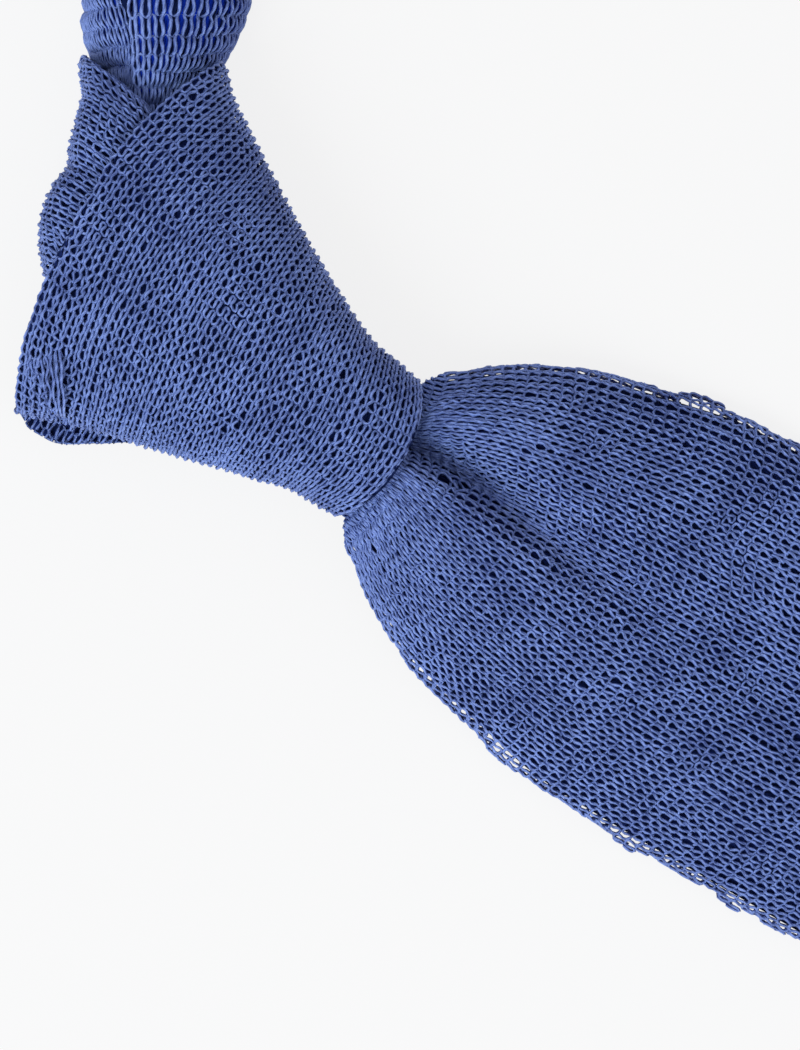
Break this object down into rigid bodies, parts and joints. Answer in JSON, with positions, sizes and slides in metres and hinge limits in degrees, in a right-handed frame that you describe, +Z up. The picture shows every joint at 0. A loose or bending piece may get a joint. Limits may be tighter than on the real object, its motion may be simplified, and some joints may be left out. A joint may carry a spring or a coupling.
{
  "type": "knit tie",
  "caption": "Blue openwork knit tie, tied in a four-in-hand knot with its neck loop open, lying on its back.",
  "frame": {"origin": "on the table under the middle of the knot", "axes": "+Z up from the table, +Y up the tie from its blades to the knot, +X to the right of someone who looks down on its front"},
  "size_m": [0.2038, 0.6117, 0.0258],
  "materials": {
    "knit": "matte openwork knit"
  },
  "bodies": {
    "root": {"front_blade": "knit", "tail_blade": "knit", "front_wrap": "knit", "over_pass": "knit", "back_wrap": "knit", "neck_loop": "knit"}
  },
  "joints": []
}
